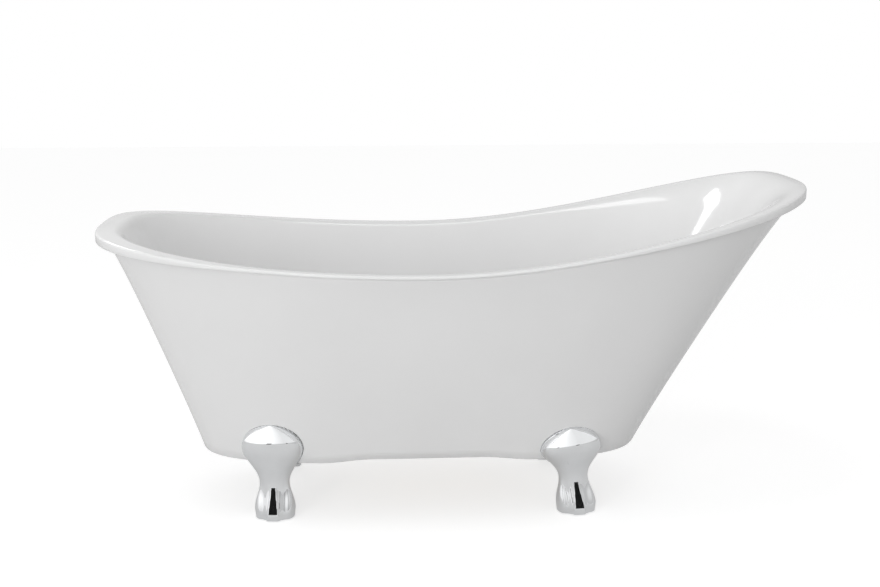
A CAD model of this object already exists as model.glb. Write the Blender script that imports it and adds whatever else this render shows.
"""Looks of a white single-ended slipper bath on four chrome feet.

Lengths are in metres in the part's frame: the bath stands on Z = 0, its raised slipper end is at +X
and the photograph's camera stands at -Y.
"""
import math

import bmesh
import bpy
import numpy as np
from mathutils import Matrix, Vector


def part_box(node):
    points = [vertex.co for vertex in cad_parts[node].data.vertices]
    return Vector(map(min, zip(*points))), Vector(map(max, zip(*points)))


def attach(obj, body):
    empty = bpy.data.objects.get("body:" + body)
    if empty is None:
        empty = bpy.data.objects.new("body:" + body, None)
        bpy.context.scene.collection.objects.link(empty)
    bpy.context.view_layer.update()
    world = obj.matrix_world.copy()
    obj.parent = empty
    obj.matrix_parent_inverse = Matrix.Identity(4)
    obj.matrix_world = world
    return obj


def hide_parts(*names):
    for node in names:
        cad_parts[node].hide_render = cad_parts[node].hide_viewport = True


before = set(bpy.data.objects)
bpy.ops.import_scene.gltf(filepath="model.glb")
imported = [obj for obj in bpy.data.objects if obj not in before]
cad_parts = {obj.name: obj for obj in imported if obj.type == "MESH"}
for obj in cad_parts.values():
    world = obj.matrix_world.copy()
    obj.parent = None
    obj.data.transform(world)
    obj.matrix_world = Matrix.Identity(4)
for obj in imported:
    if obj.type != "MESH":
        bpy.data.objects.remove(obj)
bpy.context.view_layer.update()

# ---------------------------------------------------------------------------------- the bath's well
# The well is one vacuum-formed sheet of white acrylic, five millimetres thick: a broad rolled rim, two
# long sides, a sloping backrest and a dished floor.  Its rim carries everything that hangs below it.

rim_low, rim_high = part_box("inner_shell")
half_length = (rim_high.x - rim_low.x) / 2
half_width = (rim_high.y - rim_low.y) / 2
widest_x = 0.005
rim_powers = (3.3, 3.15)
rim_lowest_x, rim_lowest_height = -0.077, 0.634
low_end_rise, low_end_bend = 0.066, 1.150
slipper_rise, slipper_bend = 0.162, 0.660
# shares of the half length beyond which the rim's sizes ease to those of each end
slipper_ease, low_end_ease = 0.25, 0.45
sheet_thickness, lip_radius, lip_break = 0.005, 0.006, 0.001
floor_height, floor_inset = 0.190, 0.072
well_reaches, well_half_width, well_powers = (0.540, 0.430), 0.188, (3.0, 2.7)
corner_fullness = 0.8
waste_x, waste_hole = -0.320, 0.0249
dish_depth, dish_radii = 0.006, (0.044, 0.078)
# the next four are each given at the low end, at the sides and at the slipper end
lip_depths = (0.022, 0.0075, 0.022)
rim_flats = (0.034, 0.012, 0.004)
roll_reaches = (0.016, 0.016, 0.056)
roll_drops = (0.020, 0.020, 0.110)
around = 384
face_rows, back_rows = (24, 84), (12, 48)


def superellipse(angle, low_reach, high_reach, width, power_long, power_cross):
    """Closed plan curve: a power of the cosine along the bath and of the sine across it.

    Each end has its own reach, so the curve is widest at widest_x and not at its middle.
    """
    across, along = np.cos(angle), np.sin(angle)
    reach = np.where(across > 0, high_reach - widest_x, low_reach + widest_x)
    x = widest_x + reach * np.sign(across) * np.abs(across) ** (2 / power_long)
    y = width * np.sign(along) * np.abs(along) ** (2 / power_cross)
    return np.stack([x, y], -1)


def rim_plan(angle):
    """Outline of the bath seen from above, over the lip."""
    return superellipse(angle, half_length, half_length, half_width, *rim_powers)


def evenly_round(plan, count, samples=20001):
    """Angles that share a plan curve into equal lengths, from the running length of a fine copy."""
    fine = np.linspace(0, 2 * np.pi, samples)
    steps = np.linalg.norm(np.diff(plan(fine), axis=0), axis=1)
    travelled = np.concatenate([[0], np.cumsum(steps)])
    return np.interp(np.linspace(0, travelled[-1], count, endpoint=False), travelled, fine)


def outward(plan, angle, step=1e-4):
    """Unit normal of a plan curve: its chord over a small step, turned a quarter to the outside."""
    chord = plan(angle + step) - plan(angle - step)
    normal = np.stack([chord[:, 1], -chord[:, 0]], -1)
    return normal / np.linalg.norm(normal, axis=1, keepdims=True)


def smooth(value, start, end):
    """Rise from 0 at start to 1 at end that is level at both."""
    share = np.clip((value - start) / (end - start), 0, 1)
    return share * share * (3 - 2 * share)


def sheer(x):
    """Height of the rim: a hyperbola each side of its lowest place, steeper to the slipper end."""
    run = x - rim_lowest_x
    full = np.where(run > 0, half_length - rim_lowest_x, half_length + rim_lowest_x)
    rise = np.where(run > 0, slipper_rise, low_end_rise)
    bend = np.where(run > 0, slipper_bend, low_end_bend)
    lift = (np.hypot(1, run / bend) - 1) / (np.hypot(1, full / bend) - 1)
    return rim_lowest_height + rise * lift


def by_end(x, low_end, side, slipper):
    """Size that keeps its side value along the bath and eases to its own value at each end."""
    share = smooth(x, slipper_ease * half_length, half_length)
    share -= smooth(-x, low_end_ease * half_length, half_length)
    return side + (slipper - side) * np.maximum(share, 0) + (low_end - side) * np.maximum(-share, 0)


def bezier(controls, share):
    """Rows of a Bezier curve for each angle, by repeated blending of its control points."""
    share = share[None, :, None]
    rows = [control[:, None, :] for control in controls]
    while len(rows) > 1:
        rows = [a + (b - a) * share for a, b in zip(rows, rows[1:])]
    return rows[0]


angles = evenly_round(rim_plan, around)
rim_edge = rim_plan(angles)
rim_normal = outward(rim_plan, angles)
rim_height = sheer(rim_edge[:, 0])
lip_depth = by_end(rim_edge[:, 0], *lip_depths)


def from_rim(inset, drop):
    """Points at a distance in from the lip's outline and down from the rim's top."""
    inset = np.broadcast_to(inset, angles.shape)[:, None]
    return np.column_stack([rim_edge - rim_normal * inset, rim_height - drop])


def well_curves(depth):
    """Control points of the rim's roll and of the wall below it, at a depth behind the face."""
    x = rim_edge[:, 0]
    flat = lip_radius + by_end(x, *rim_flats)
    roll = flat + by_end(x, *roll_reaches)
    drop = by_end(x, *roll_drops)[:, None]
    edge = from_rim(flat, depth)
    corner = from_rim(roll, 0)
    low, high = well_reaches
    foot = np.column_stack([superellipse(angles, low, high, well_half_width, *well_powers),
                            np.full(len(angles), floor_height)])
    floor = np.column_stack([superellipse(angles, low - floor_inset, high - floor_inset,
                                          well_half_width - floor_inset, *well_powers),
                             np.full(len(angles), floor_height - depth)])
    slope = foot - corner
    slope /= np.linalg.norm(slope, axis=1, keepdims=True)
    behind = np.cross(np.cross(slope, [0, 0, 1.0]), slope)
    behind *= np.sign(np.sum(behind[:, :2] * rim_normal, axis=1, keepdims=True))
    behind *= depth / np.linalg.norm(behind, axis=1, keepdims=True)
    wall = corner + slope * drop + behind
    down = -slope[:, 2:]
    upper = wall - slope * (edge[:, 2:] - wall[:, 2:]) / down
    lower = wall + slope * (wall[:, 2:] - floor[:, 2:]) / down
    return ((edge, upper, wall),
            (wall, wall + (lower - wall) * corner_fullness, floor + (lower - floor) * corner_fullness, floor))


def well_face(depth, roll_steps, wall_steps):
    """Face of the sheet from the rim's flat over the roll and down the wall to the floor."""
    roll, wall = well_curves(depth)
    over = bezier(roll, np.linspace(0, 1, roll_steps, endpoint=False))
    down = bezier(wall, np.linspace(0, 1, wall_steps))
    return np.concatenate([over, down], axis=1)


def pan_floor(height, outline, steps=36, crowding=0.6):
    """Floor from its outline in to the waste's hole, on straight lines towards the waste.

    The rows' places are a power of their number, closer together near the waste, where the dish is
    a smooth step down between two radii.
    """
    centre = np.array([waste_x, 0])
    reach = outline[:, :2] - centre
    distance = np.linalg.norm(reach, axis=1)
    share = np.linspace(0, 1, steps + 1)[1:] ** crowding
    radii = distance[:, None] + (waste_hole - distance[:, None]) * share[None, :]
    points = centre + (reach / distance[:, None])[:, None, :] * radii[:, :, None]
    drop = dish_depth * (1 - smooth(radii, *dish_radii))
    return np.concatenate([points, (height - drop)[:, :, None]], axis=2)


def loft(rows, closed_along=False, capped=False):
    """Points and faces of a grid that is closed round its first direction.

    closed_along also joins the last row to the first; capped closes both ends with flat faces.
    """
    around, along, _ = rows.shape
    index = np.arange(around * along).reshape(around, along)
    beside = np.roll(index, -1, axis=0)
    if closed_along:
        quads = np.stack([index, beside, np.roll(beside, -1, axis=1), np.roll(index, -1, axis=1)], -1)
    else:
        quads = np.stack([index[:, :-1], beside[:, :-1], beside[:, 1:], index[:, 1:]], -1)
    faces = quads.reshape(-1, 4).tolist()
    if capped:
        faces += [index[::-1, 0].tolist(), index[:, -1].tolist()]
    return rows.reshape(-1, 3), faces


def add_piece(name, parts, mirrored=False, weld=1e-6):
    """Object made of closed parts, each its points and faces, mirrored across the bath where asked."""
    points = np.concatenate([part for part, _ in parts])
    starts = np.cumsum([0] + [len(part) for part, _ in parts])
    faces = [[start + i for i in face] for start, (_, own) in zip(starts, parts) for face in own]
    if mirrored:
        points = points * [1, -1, 1]
        faces = [face[::-1] for face in faces]
    mesh = bpy.data.meshes.new(name)
    mesh.from_pydata(points.tolist(), [], faces)
    welded = bmesh.new()
    welded.from_mesh(mesh)
    bmesh.ops.remove_doubles(welded, verts=welded.verts, dist=weld)
    welded.to_mesh(mesh)
    welded.free()
    mesh.shade_smooth()
    piece = bpy.data.objects.new(name, mesh)
    bpy.context.scene.collection.objects.link(piece)
    return piece


def lip_corner(steps=12):
    """Rounded outer edge of the lip: a quarter curve between its top and its face."""
    corners = (from_rim(lip_radius, 0), from_rim(0, 0), from_rim(0, lip_radius))
    return bezier(corners, np.linspace(0, 1, steps))


lip_foot = np.stack([from_rim(0, lip_depth - lip_break), from_rim(lip_break, lip_depth),
                     from_rim(sheet_thickness - lip_break, lip_depth),
                     from_rim(sheet_thickness, lip_depth - lip_break),
                     from_rim(sheet_thickness, sheet_thickness)], axis=1)
face = well_face(0, *face_rows)
back = well_face(sheet_thickness, *back_rows)
floor_top = pan_floor(floor_height, face[:, -1])
floor_back = pan_floor(floor_height - sheet_thickness, back[:, -1])
well_rows = (floor_top[:, ::-1], face[:, ::-1], lip_corner(), lip_foot, back, floor_back)
well = add_piece("bath_well", [loft(np.concatenate(well_rows, axis=1), closed_along=True)])
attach(well, "bath")
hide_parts("inner_shell")


def cloud_group(faintest=0.3, fullest=0.7):
    """Node group whose one output is a soft cloud between 0 and 1, as fine as its scale says.

    The noise seldom leaves the middle of its range, so that middle is stretched.
    """
    group = bpy.data.node_groups.new("cloud", "ShaderNodeTree")
    group.interface.new_socket("Scale", in_out="INPUT", socket_type="NodeSocketFloat")
    group.interface.new_socket("Cloud", in_out="OUTPUT", socket_type="NodeSocketFloat")
    start, end = group.nodes.new("NodeGroupInput"), group.nodes.new("NodeGroupOutput")
    place = group.nodes.new("ShaderNodeTexCoord")
    noise = group.nodes.new("ShaderNodeTexNoise")
    noise.inputs["Detail"].default_value = 3.0
    spread = group.nodes.new("ShaderNodeMapRange")
    spread.inputs["From Min"].default_value = faintest
    spread.inputs["From Max"].default_value = fullest
    group.links.new(place.outputs["Object"], noise.inputs["Vector"])
    group.links.new(start.outputs["Scale"], noise.inputs["Scale"])
    group.links.new(noise.outputs["Fac"], spread.inputs["Value"])
    group.links.new(spread.outputs["Result"], end.inputs["Cloud"])
    return group


cloud = cloud_group()


def clouded(name, scale, colours, roughness, metallic=0.0, bump=0.0):
    """Material whose colour and roughness run between two values each, over a cloud of that scale.

    bump is the depth in metres by which the same cloud dents it.
    """
    material = bpy.data.materials.new(name)
    material.use_nodes = True
    tree = material.node_tree
    shader = tree.nodes["Principled BSDF"]
    shader.inputs["Metallic"].default_value = metallic
    mask = tree.nodes.new("ShaderNodeGroup")
    mask.node_tree = cloud
    mask.inputs["Scale"].default_value = scale
    tint = tree.nodes.new("ShaderNodeValToRGB")
    for element, colour in zip(tint.color_ramp.elements, colours):
        element.color = (*colour, 1)
    polish = tree.nodes.new("ShaderNodeMapRange")
    polish.inputs["To Min"].default_value, polish.inputs["To Max"].default_value = roughness
    tree.links.new(mask.outputs["Cloud"], tint.inputs["Fac"])
    tree.links.new(mask.outputs["Cloud"], polish.inputs["Value"])
    tree.links.new(tint.outputs["Color"], shader.inputs["Base Color"])
    tree.links.new(polish.outputs["Result"], shader.inputs["Roughness"])
    if bump:
        dent = tree.nodes.new("ShaderNodeBump")
        dent.inputs["Distance"].default_value = bump
        tree.links.new(mask.outputs["Cloud"], dent.inputs["Height"])
        tree.links.new(dent.outputs["Normal"], shader.inputs["Normal"])
    return material


acrylic = clouded("glossy_white_acrylic", 4.0, ((0.79, 0.79, 0.79), (0.81, 0.81, 0.81)), (0.10, 0.16))
gloss = acrylic.node_tree.nodes["Principled BSDF"].inputs
gloss["IOR"].default_value = 1.49
gloss["Coat Weight"].default_value = 0.4
gloss["Coat Roughness"].default_value = 0.03
well.data.materials.append(acrylic)

# --------------------------------------------------------------------------------- the outer skin
# The outside is a second, thinner acrylic sheet bonded up under the rim.  It leans in to a narrow foot,
# turns under in a small corner and ends in a flange that the feet clamp to the leg rails.

skin_thickness = 0.004
skin_overhangs = (0.018, 0.006, 0.012)
skin_bow, skin_flare, flare_sharpness = 1.05, 0.04, 9
bond_gap = 0.0006
base_height = 0.138
base_reaches, base_half_width, base_powers = (0.623, 0.461), 0.205, (3.2, 2.9)
base_corner, base_flange = 0.006, 0.034
arch_rise, arch_start, arch_end, arch_run = 0.010, -0.331, 0.190, 0.130
skin_steps, corner_steps = 40, 7
first_step = 0.05


def base_plan(angle):
    """Outline of the skin's lower edge seen from above."""
    return superellipse(angle, *base_reaches, base_half_width, *base_powers)


def base_edge(x):
    """Height of the skin's lower edge: level over the feet and slightly raised between them."""
    arch = smooth(x, arch_start, arch_start + arch_run) * smooth(x, arch_end, arch_end - arch_run)
    return base_height + arch_rise * arch


base_line = base_plan(angles)
base_normal = outward(base_plan, angles)
base_rise = base_edge(base_line[:, 0])


def underside(inset):
    """Height of the rim's underside at distances in from the lip's outline, from the roll's rows."""
    roll = back[:, :back_rows[0]]
    away = np.einsum("ijk,ik->ij", rim_edge[:, None, :] - roll[:, :, :2], rim_normal)
    return np.array([np.interp(inset[i], away[i], roll[i, :, 2]) for i in range(around)])


overhang = by_end(rim_edge[:, 0], *skin_overhangs)
skin_top = np.column_stack([rim_edge - rim_normal * overhang[:, None],
                            underside(overhang + skin_thickness) - bond_gap])


def skin_reach(share):
    """Share of the way out at a share of the way up.

    It is the sum of a nearly even power and a small sharp one, a flare just below the rim.
    """
    return (1 - skin_flare) * share ** skin_bow + skin_flare * share ** flare_sharpness


def skin_rows(share, inset):
    """Points of the skin between its lower edge, share 0, and its top, share 1."""
    base = np.column_stack([base_line, base_rise])[:, None, :]
    bent = np.stack([skin_reach(share), skin_reach(share), share], axis=-1)[None]
    rows = base + (skin_top[:, None, :] - base) * bent
    rows[:, :, :2] -= base_normal[:, None, :] * inset
    return rows


def skin_edge(inset, rise):
    """Points near the skin's lower edge, in from its outline and up from its underside."""
    return np.column_stack([base_line - base_normal * inset, base_rise + rise])


outer_corner = np.stack([skin_edge(base_corner * (1 - math.sin(turn)), base_corner * (1 - math.cos(turn)))
                         for turn in np.linspace(0, np.pi / 2, corner_steps + 1)[:-1]], axis=1)
above_corner = base_corner / (rim_lowest_height - base_height)
shares = np.concatenate([[above_corner], np.linspace(first_step, 1, skin_steps)])
outside = skin_rows(shares, 0)
inside = skin_rows(shares[::-1], skin_thickness)
turned_in = np.stack([skin_edge(2 * skin_thickness, skin_thickness), skin_edge(base_flange, skin_thickness),
                      skin_edge(base_flange, 0)], axis=1)
skin = add_piece("bath_skin", [loft(np.concatenate([outer_corner, outside, inside, turned_in], axis=1),
                                    closed_along=True)])
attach(skin, "bath")
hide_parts("outer_skin")
skin.data.materials.append(acrylic)

# ------------------------------------------------------------------------------------- the four feet
# Four chromed castings, each a ball-like lobe on a narrow ankle over a flared leg, open at the back.
# A shelf inside the lobe reaches in under the bath; its boss takes the leveller's screw.

foot_turn = math.radians(5)
foot_places = (("low", -0.441, -foot_turn), ("high", 0.295, foot_turn))
sole_height, toe_height, ankle_height = 0.003, 0.024, 0.088
lobe_height, crease_height, lobe_top = 0.182, 0.205, 0.244
sole_half, toe_half, ankle_half, lobe_half = 0.047, 0.049, 0.036, 0.0745
sole_front, ankle_front, crease_front, top_front = 0.036, 0.017, 0.058, 0.038
sole_back, ankle_back, lobe_back = 0.042, 0.026, 0.040
foot_power = 2.3
slipper_lean, slipper_tilt, slipper_drop = 0.020, 0.15, 0.020
foot_wall, foot_floor, seat_gap, thinnest = 0.007, 0.012, 0.0006, 0.0005
rib_rise, rib_edge, rib_half_sole, rib_half_ankle = 0.003, 0.003, 0.013, 0.006
rib_full_height, rib_end_height, side_fade = 0.053, 0.114, 4
flute_offset, flute_width, flute_depth = 0.026, 0.008, 0.0045
shelf_half, shelf_reach, shelf_thick = 0.043, 0.086, 0.008
step_setback, step_top = 0.048, 0.1423
boss_radius, boss_top = 0.011, 0.052
outside_steps, inside_steps = 161, 61


def foot_half(height):
    """Half width of the foot seen from the front: flared sole, thin ankle, round lobe."""
    leg = toe_half - (toe_half - ankle_half) * smooth(height, toe_height, ankle_height)
    leg -= (toe_half - sole_half) * (1 - smooth(height, sole_height, toe_height))
    hip = ankle_half + (lobe_half - ankle_half) * smooth(height, ankle_height, lobe_height)
    rise = np.clip((height - lobe_height) / (lobe_top - lobe_height), 0, 1)
    crown = lobe_half * np.sqrt(1 - rise * rise)
    return np.where(height < ankle_height, leg, np.where(height < lobe_height, hip, crown))


def foot_front(height):
    """How far the front stands out from the wall's lower edge."""
    leg = sole_front - (sole_front - ankle_front) * smooth(height, sole_height, ankle_height)
    hip = ankle_front + (crease_front - ankle_front) * smooth(height, ankle_height, crease_height)
    crown = crease_front - (crease_front - top_front) * (height - crease_height) / (lobe_top - crease_height)
    return np.where(height < ankle_height, leg, np.where(height < crease_height, hip, crown))


def foot_back(height):
    """How far the back lies inside the wall's lower edge."""
    leg = sole_back - (sole_back - ankle_back) * smooth(height, sole_height, ankle_height)
    hip = ankle_back + (lobe_back - ankle_back) * smooth(height, ankle_height, base_height)
    return np.where(height < ankle_height, leg, hip)


def round_power(turn):
    """Cosine and sine of the turn, both to the power that makes the foot's sections a little square."""
    return [np.sign(wave) * np.abs(wave) ** (2 / foot_power) for wave in (np.cos(turn), np.sin(turn))]


def foot_outside(height, half, front, back):
    """Sections round the outside from one back edge to the other.

    Down the middle of the leg stands a flat-fronted rib that widens to the toe, with a hollow flute
    on each side of it, a bell curve of the distance across.
    """
    tip = np.arccos(np.clip((half - foot_wall) / half, 0, 1) ** (foot_power / 2))
    cross, ahead = round_power(-tip + (np.pi + 2 * tip) * np.linspace(0, 1, outside_steps)[None, :])
    across = half * cross
    depth = (front - back) / 2 + ahead * (front + back) / 2
    fade = (1 - smooth(height, rib_full_height, rib_end_height)) * np.clip(ahead * side_fade, 0, 1)
    rib_half = rib_half_sole - (rib_half_sole - rib_half_ankle) * smooth(height, sole_height, ankle_height)
    flute = flute_depth * np.exp(-((np.abs(across) - flute_offset) / flute_width) ** 2)
    rib = 1 - smooth(np.abs(across), rib_half, rib_half + rib_edge)
    fluted = depth - flute
    return across, depth + fade * (fluted + rib * (front + rib_rise - fluted) - depth)


def foot_inside(half, front, back, across, depth, hollow):
    """The way back along the hollow, or straight along the back where there is none."""
    cross, ahead = round_power(np.pi * np.linspace(1, 0, inside_steps)[None, :])
    share = np.linspace(0, 1, inside_steps)[None, :]
    straight = across[:, -1:] + (across[:, :1] - across[:, -1:]) * share
    level = depth[:, -1:] + (depth[:, :1] - depth[:, -1:]) * share
    wide = np.maximum(half - foot_wall, thinnest) * cross
    deep = (front - back) / 2 + np.abs(ahead) * ((front + back) / 2 - foot_wall)
    return np.where(hollow, wide, straight), np.where(hollow, np.maximum(deep, level), level)


def foot_rows(height, hollow, lean):
    """Points of the foot: across, out of the wall, up.

    Where lean is 1 the foot goes sideways with its height, and its lobe is lower and tilted.
    """
    height, hollow = height[:, None], hollow[:, None]
    half, front, back = foot_half(height), foot_front(height), foot_back(height)
    across, depth = foot_outside(height, half, front, back)
    inner_across, inner_depth = foot_inside(half, front, back, across, depth, hollow)
    across = np.concatenate([across, inner_across], axis=1)
    depth = np.concatenate([depth, inner_depth], axis=1)
    aside = np.maximum(height - toe_height, 0) / (lobe_height - toe_height)
    bulge = smooth(height, ankle_height, lobe_top)
    up = height + lean * bulge * (slipper_tilt * across - slipper_drop)
    return across - lean * slipper_lean * aside, depth, up


def block(low, high):
    """Points and faces of a box."""
    corners = np.array([[low[0], low[1]], [high[0], low[1]], [high[0], high[1]], [low[0], high[1]]])
    rows = np.stack([np.column_stack([corners, np.full(4, z)]) for z in (low[2], high[2])], axis=1)
    return loft(rows, capped=True)


def lathe(profile, turns=np.linspace(0, 2 * np.pi, 96, endpoint=False)):
    """Points and faces of a profile of radii and heights turned about the upright axis."""
    profile = np.broadcast_to(profile, (len(turns), *np.shape(profile)[-2:]))
    radius, height = profile[:, :, 0], profile[:, :, 1]
    rows = np.stack([radius * np.cos(turns)[:, None], radius * np.sin(turns)[:, None], height], -1)
    return loft(rows, capped=True)


def wall_depth(x, z):
    """Y of the skin's outer face on the front side, at places along the bath and heights."""
    front = slice(len(angles) // 2, None)
    base = np.column_stack([base_line, base_rise])[front]
    top = skin_top[front]
    result = np.empty_like(x)
    for place in np.ndindex(x.shape):
        out = skin_reach(np.clip((z[place] - base[:, 2]) / (top[:, 2] - base[:, 2]), 0, 1))
        result[place] = np.interp(x[place], base[:, 0] + (top[:, 0] - base[:, 0]) * out,
                                  base[:, 1] + (top[:, 1] - base[:, 1]) * out)
    return result


shelf_top = base_height - seat_gap / 2
shelf_low = shelf_top - shelf_thick
# stretches of the foot's height, and whether each is hollow and whether the bath's wall limits it
stretches = ((np.linspace(sole_height, foot_floor, 10), False, False),
             (np.linspace(foot_floor, shelf_low, 90), True, False),
             (np.linspace(shelf_low, shelf_top, 6), False, False),
             (np.linspace(shelf_top, lobe_top - foot_wall, 70), True, True),
             (lobe_top - foot_wall * np.linspace(1, 0.1, 14) ** 2, False, True))
levels = np.concatenate([heights for heights, _, _ in stretches])
hollow = np.concatenate([np.full(len(heights), flag) for heights, flag, _ in stretches])
seated = np.concatenate([np.full(len(heights), flag) for heights, _, flag in stretches])
front_line = base_plan(np.linspace(-np.pi, 0, 4001))
feet = {}
for lean, (end, foot_x, turn) in enumerate(foot_places):
    centre = np.array([foot_x, np.interp(foot_x, *front_line.T)])
    spin = np.array([[math.cos(turn), -math.sin(turn)], [math.sin(turn), math.cos(turn)]])
    across, depth, up = foot_rows(levels, hollow, lean)
    spots = np.stack([across, -depth], -1) @ spin.T + centre
    limit = wall_depth(spots[:, :, 0], up) - seat_gap
    spots[:, :, 1] = np.where(seated[:, None], np.minimum(spots[:, :, 1], limit), spots[:, :, 1])
    parts = [loft(np.concatenate([spots, up[:, :, None]], axis=2).transpose(1, 0, 2)[::-1], capped=True)]
    for points, faces in (block((-shelf_half, 0, shelf_low), (shelf_half, shelf_reach, shelf_top)),
                          block((-shelf_half, step_setback, shelf_low), (shelf_half, shelf_reach, step_top)),
                          lathe(((0, sole_height), (boss_radius, sole_height), (boss_radius, boss_top),
                                 (0, boss_top)))):
        parts.append((np.column_stack([points[:, :2] @ spin.T + centre, points[:, 2]]), faces))
    for side in ("front", "rear"):
        feet[end, side] = add_piece(f"cast_foot_{end}_{side}", parts, mirrored=side == "rear")
        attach(feet[end, side], "bath")
        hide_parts(f"foot_{end}_{side}")

chrome = clouded("polished_chrome", 18.0, ((0.80, 0.81, 0.82), (0.84, 0.85, 0.86)), (0.02, 0.05),
                 metallic=1.0)
for foot in feet.values():
    foot.data.materials.append(chrome)

# ------------------------------------------------------------------------- levellers under the feet
# Each foot stands on a zinc plated screw with a hexagon collar over a black pad, which goes up or
# down in the foot's boss to level the bath.


def dress(material, *names):
    """Give the part's own solids a material in place of their plain ones."""
    for name in names:
        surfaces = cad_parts[name].data.materials
        surfaces.clear()
        surfaces.append(material)


corners = ("low_front", "low_rear", "high_front", "high_rear")
zinc = clouded("zinc_plate", 60.0, ((0.60, 0.62, 0.65), (0.76, 0.77, 0.77)), (0.25, 0.42), metallic=1.0)
rubber = clouded("black_rubber", 220.0, ((0.018, 0.018, 0.019), (0.032, 0.032, 0.033)), (0.6, 0.8),
                 bump=0.0002)
dress(zinc, *(f"leveller_{corner}" for corner in corners))
dress(rubber, *(f"pad_{corner}" for corner in corners))

# ------------------------------------------------------------------------- board, rails and fasteners
# A chipboard plank is bonded under the well.  Two pressed steel rails are screwed to it across the
# bath, and each foot is bolted up to a rail through the skin's flange.

chips = clouded("chipboard", 35.0, ((0.50, 0.37, 0.22), (0.68, 0.54, 0.36)), (0.7, 0.9), bump=0.0003)
tree = chips.node_tree
flake = tree.nodes.new("ShaderNodeTexVoronoi")
flake.inputs["Scale"].default_value = 160.0
place = tree.nodes.new("ShaderNodeTexCoord")
lay = tree.nodes.new("ShaderNodeMixRGB")
lay.blend_type = "OVERLAY"
lay.inputs["Fac"].default_value = 0.35
grey = tree.nodes.new("ShaderNodeRGBToBW")
shader = tree.nodes["Principled BSDF"]
ground = shader.inputs["Base Color"].links[0].from_socket
tree.links.new(place.outputs["Object"], flake.inputs["Vector"])
tree.links.new(flake.outputs["Color"], grey.inputs["Color"])
tree.links.new(ground, lay.inputs["Color1"])
tree.links.new(grey.outputs["Val"], lay.inputs["Color2"])
tree.links.new(lay.outputs["Color"], shader.inputs["Base Color"])
dress(chips, "baseboard")
dress(zinc, "leg_rail_low", "leg_rail_high", "rail_screws", "foot_bolts", "foot_washers", "foot_nuts")

# ---------------------------------------------------------------------------------- waste and plug
# The waste is a chromed flange with a moulded body screwed up to it from below, sealed by two rubber
# rings.  Its click plug is a domed chrome cap on a brass core, with a rubber ring under its edge.

gasket_thick, flange_thick, ring_thick = 0.002, 0.0035, 0.0022
cap_bottom = floor_height - dish_depth + gasket_thick + flange_thick + ring_thick
cap_radius, dome_radius, dome_rise = 0.032, 0.031, 0.0027
dome_foot, edge_top, edge_foot = cap_bottom + 0.0033, cap_bottom + 0.0031, cap_bottom + 0.002
skirt_outside, skirt_inside, skirt_foot = 0.019, 0.0172, cap_bottom - 0.006
sleeve_outside, sleeve_inside, sleeve_foot = 0.0079, 0.0061, cap_bottom - 0.014
dome = np.linspace(0, 1, 24)
dome_rows = np.column_stack([dome_radius * dome, dome_foot + dome_rise * (1 - dome ** 2)])
cap_edge = bezier([np.array([[dome_radius, dome_foot]]), np.array([[cap_radius, edge_top]]),
                   np.array([[cap_radius, edge_foot]])], np.linspace(0, 1, 8))[0]
cap_under = ((cap_radius, cap_bottom), (skirt_outside, cap_bottom), (skirt_outside, skirt_foot),
             (skirt_inside, skirt_foot), (skirt_inside, cap_bottom), (sleeve_outside, cap_bottom),
             (sleeve_outside, sleeve_foot), (sleeve_inside, sleeve_foot), (sleeve_inside, cap_bottom),
             (0, cap_bottom))
points, faces = lathe(np.concatenate([dome_rows, cap_edge, cap_under])[::-1])
cap = add_piece("plug_cap_dome", [(points + [waste_x, 0, 0], faces)])
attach(cap, "plug")
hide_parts("plug_cap")
cap.data.materials.append(chrome)
moulded = clouded("moulded_grey_plastic", 40.0, ((0.68, 0.68, 0.68), (0.76, 0.76, 0.76)), (0.35, 0.5),
                  bump=0.0001)
brass = clouded("turned_brass", 90.0, ((0.62, 0.46, 0.20), (0.74, 0.58, 0.28)), (0.2, 0.35), metallic=1.0)
dress(chrome, "waste_flange")
dress(brass, "plug_core")
dress(rubber, "plug_seal", "waste_seal_top", "waste_seal_bottom")
dress(moulded, "waste_body")

# ------------------------------------------------------------------------------------ the overflow
# A chrome cover with a slot in its lower edge stands off the low end's wall.  Behind it a moulded
# bush, elbow and pipe lead down to the waste, with a compression nut and ring at each joint.

overflow_height = 0.520
cover_radius, cover_wall, cover_top, cover_rounding = 0.034, 0.0025, 0.0105, 0.003
land_gap, notch_half, notch_height, notch_step = 0.0005, 0.018, 0.006, 1e-4
cross_half, cross_foot = 0.0164, -0.0085
slope = face[around // 2]
rows = np.arange(len(slope))
place = np.interp(-overflow_height, -slope[:, 2], rows)
spot = np.array([np.interp(place, rows, line) for line in slope.T])
down = slope[int(place) + 1] - slope[int(place)]
down /= np.linalg.norm(down)
outward_axis = np.array([-down[2], 0, down[0]])
bend = np.linspace(0, np.pi / 2, 9)
rounding = np.column_stack([cover_radius - cover_rounding + cover_rounding * np.sin(bend),
                            cover_top - cover_rounding + cover_rounding * np.cos(bend)])
notch = math.asin(notch_half / cover_radius)
turns = np.concatenate([np.linspace(-notch, notch, 24),
                        np.linspace(notch + notch_step, 2 * np.pi - notch - notch_step, 90)])
uncut = (np.abs(np.sin(turns)) * cover_radius > notch_half) | (np.cos(turns) < 0)
inner_radius, inner_top = cover_radius - cover_wall, cover_top - cover_wall
profile = np.stack([np.concatenate([[(0, cover_top)], rounding, [(cover_radius, edge), (inner_radius, edge),
                                                                 (inner_radius, inner_top), (0, inner_top)]])
                    for edge in np.where(uncut, land_gap, land_gap + notch_height)])
parts = [lathe(profile[:, ::-1], turns),
         block((-cross_half, -cover_wall / 2, cross_foot), (cross_half, cover_wall / 2, inner_top)),
         block((-cover_wall / 2, -cross_half, cross_foot), (cover_wall / 2, cross_half, inner_top))]
axes = np.stack([down, np.array([0, 1.0, 0]), outward_axis])
cover = add_piece("overflow_rose", [(points @ axes + spot, faces) for points, faces in parts])
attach(cover, "bath")
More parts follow.
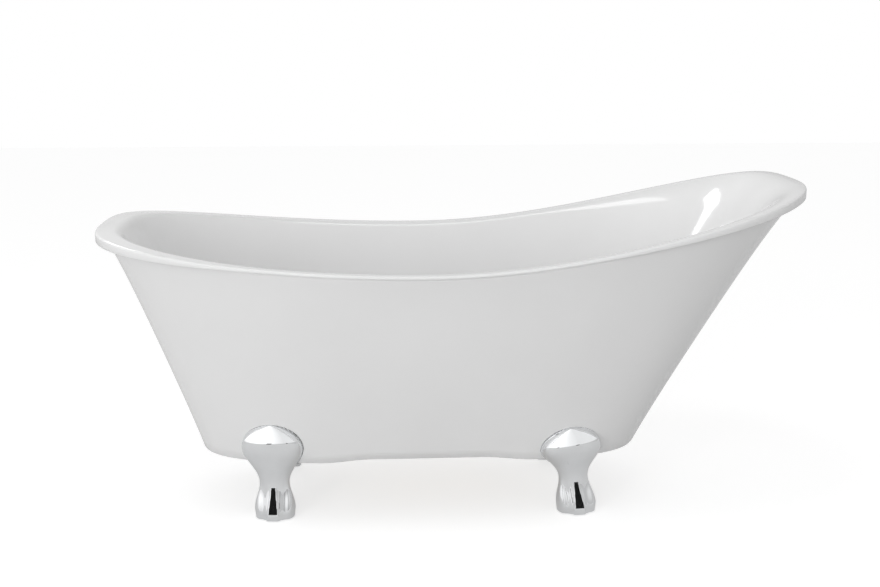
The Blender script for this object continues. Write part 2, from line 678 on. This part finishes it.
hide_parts("overflow_cover")
cover.data.materials.append(chrome)
dress(moulded, "overflow_bush", "overflow_body", "overflow_pipe", "pipe_nuts")
dress(rubber, "overflow_seal", "pipe_rings")

# ------------------------------------------------------------------------------- camera and studio
# The bath stands on a pale floor in a bright room, seen from in front and a little above.  A tall dark
# card before each front foot, which the camera doesn't see itself, gives the foot's rib the dark stripe
# of the photograph.  A window that only shines on what is glossy makes the crescent on the backrest.

sensor_width, focal_length = 36.0, 50.16
camera_place, camera_dip, camera_turn = (-0.2272, -2.9934, 1.1730), 0.2176, -0.0664
eye = bpy.data.cameras.new("camera")
eye.sensor_width = sensor_width
eye.lens = focal_length
camera = bpy.data.objects.new("camera", eye)
camera.location = camera_place
camera.rotation_euler = (math.pi / 2 - camera_dip, 0, camera_turn)
bpy.context.scene.collection.objects.link(camera)
bpy.context.scene.camera = camera
bpy.context.scene.view_settings.view_transform = "Standard"


def maths(tree, operation, *terms):
    """Output of a node that works out an operation on its terms, each a number or another output."""
    node = tree.nodes.new("ShaderNodeMath")
    node.operation = operation
    for socket, term in zip(node.inputs, terms):
        if isinstance(term, bpy.types.NodeSocket):
            tree.links.new(term, socket)
        else:
            socket.default_value = term
    return node.outputs[0]


def ranged(tree, source, start, end, first, last):
    """Output that runs evenly from first to last while its source runs from start to end."""
    node = tree.nodes.new("ShaderNodeMapRange")
    node.inputs["From Min"].default_value, node.inputs["From Max"].default_value = start, end
    node.inputs["To Min"].default_value, node.inputs["To Max"].default_value = first, last
    tree.links.new(source, node.inputs["Value"])
    return node.outputs["Result"]


def sheet(name, corners, colour, white_to_camera=0.0, white_to_metal=0.0):
    """Matt rectangle of the studio; the camera and mirror images may see it brighter than it is."""
    mesh = bpy.data.meshes.new(name)
    mesh.from_pydata(corners, [], [(0, 1, 2, 3)])
    stand = bpy.data.objects.new(name, mesh)
    bpy.context.scene.collection.objects.link(stand)
    material = bpy.data.materials.new(name)
    material.use_nodes = True
    tree = material.node_tree
    shader = tree.nodes["Principled BSDF"]
    shader.inputs["Base Color"].default_value = (colour, colour, colour, 1)
    shader.inputs["Roughness"].default_value = 1.0
    shader.inputs["Specular IOR Level"].default_value = 0.0
    shader.inputs["Emission Color"].default_value = (1, 1, 1, 1)
    path = tree.nodes.new("ShaderNodeLightPath").outputs
    watched = maths(tree, "MULTIPLY", path["Is Camera Ray"], white_to_camera)
    glow = maths(tree, "MULTIPLY_ADD", path["Is Glossy Ray"], white_to_metal, watched)
    tree.links.new(glow, shader.inputs["Emission Strength"])
    mesh.materials.append(material)
    return stand


floor_reach, floor_grey, floor_to_camera, floor_to_metal = 9, 0.62, 0.62, 0.25
sheet("studio_floor", [(-floor_reach, -floor_reach, 0), (floor_reach, -floor_reach, 0),
                       (floor_reach, floor_reach, 0), (-floor_reach, floor_reach, 0)],
      floor_grey, floor_to_camera, floor_to_metal)
card_y, card_foot, card_top, card_grey = -3.0, 0.02, 1.7, 0.02
for name, left, right in (("card_low", -1.36, -1.00), ("card_high", 1.16, 1.52)):
    card = sheet(name, [(left, card_y, card_foot), (right, card_y, card_foot),
                        (right, card_y, card_top), (left, card_y, card_top)], card_grey)
    card.visible_camera = False

# The room's light depends on the direction it comes from: brightest a little above the horizon and on
# the low end's side, weaker overhead.  Mirror images see a room of their own, which is white above and
# greyer towards the slipper end, and the camera sees plain white.
room_by_rise = ((0.12, 0.88), (0.20, 1.0), (0.45, 0.9), (0.75, 0.38))
world = bpy.data.worlds.new("studio")
bpy.context.scene.world = world
world.use_nodes = True
tree = world.node_tree
sky = tree.nodes["Background"]
sky.inputs["Color"].default_value = (1, 1, 1, 1)
way = tree.nodes.new("ShaderNodeTexCoord")
split = tree.nodes.new("ShaderNodeSeparateXYZ")
tree.links.new(way.outputs["Generated"], split.inputs[0])
along, rise = split.outputs["X"], split.outputs["Z"]
ramp = tree.nodes.new("ShaderNodeValToRGB")
while len(ramp.color_ramp.elements) < len(room_by_rise):
    ramp.color_ramp.elements.new(0.5)
for element, (place, glow) in zip(ramp.color_ramp.elements, room_by_rise):
    element.position = place
    element.color = (glow, glow, glow, 1)
tree.links.new(rise, ramp.inputs["Fac"])
room = maths(tree, "MULTIPLY", ramp.outputs["Color"], ranged(tree, along, -1.0, 1.0, 1.12, 0.86))
mirrored = maths(tree, "MULTIPLY", ranged(tree, rise, 0.10, 0.45, 0.90, 1.45),
                 ranged(tree, along, -0.6, 0.3, 1.08, 0.66))
path = tree.nodes.new("ShaderNodeLightPath").outputs
choice = tree.nodes.new("ShaderNodeMix")
for source, socket in ((path["Is Glossy Ray"], "Factor"), (room, "A"), (mirrored, "B")):
    tree.links.new(source, choice.inputs[socket])
seen = maths(tree, "MAXIMUM", choice.outputs["Result"], path["Is Camera Ray"])
tree.links.new(seen, sky.inputs["Strength"])


def softbox(name, place, target, size, power, mirrored=True, lighting=True):
    """Rectangular soft lamp that faces a target; mirror images or matt surfaces may go without it."""
    light = bpy.data.lights.new(name, "AREA")
    light.shape = "RECTANGLE"
    light.size, light.size_y = size
    light.energy = power
    lamp = bpy.data.objects.new(name, light)
    lamp.location = place
    lamp.rotation_euler = (Vector(target) - Vector(place)).to_track_quat("-Z", "Y").to_euler()
    lamp.visible_glossy = mirrored
    lamp.visible_diffuse = lighting
    bpy.context.scene.collection.objects.link(lamp)


softbox("key", (-0.4, -0.6, 3.6), (0.3, 0, 0.5), size=(1.2, 1.0), power=12)
softbox("window", (-2.3, 2.1, 3.4), (0.6, 0, 0.7), size=(1.6, 1.3), power=45, lighting=False)
softbox("fill", (-2.0, -4.3, 1.2), (0, 0, 0.4), size=(3.0, 2.4), power=92, mirrored=False)
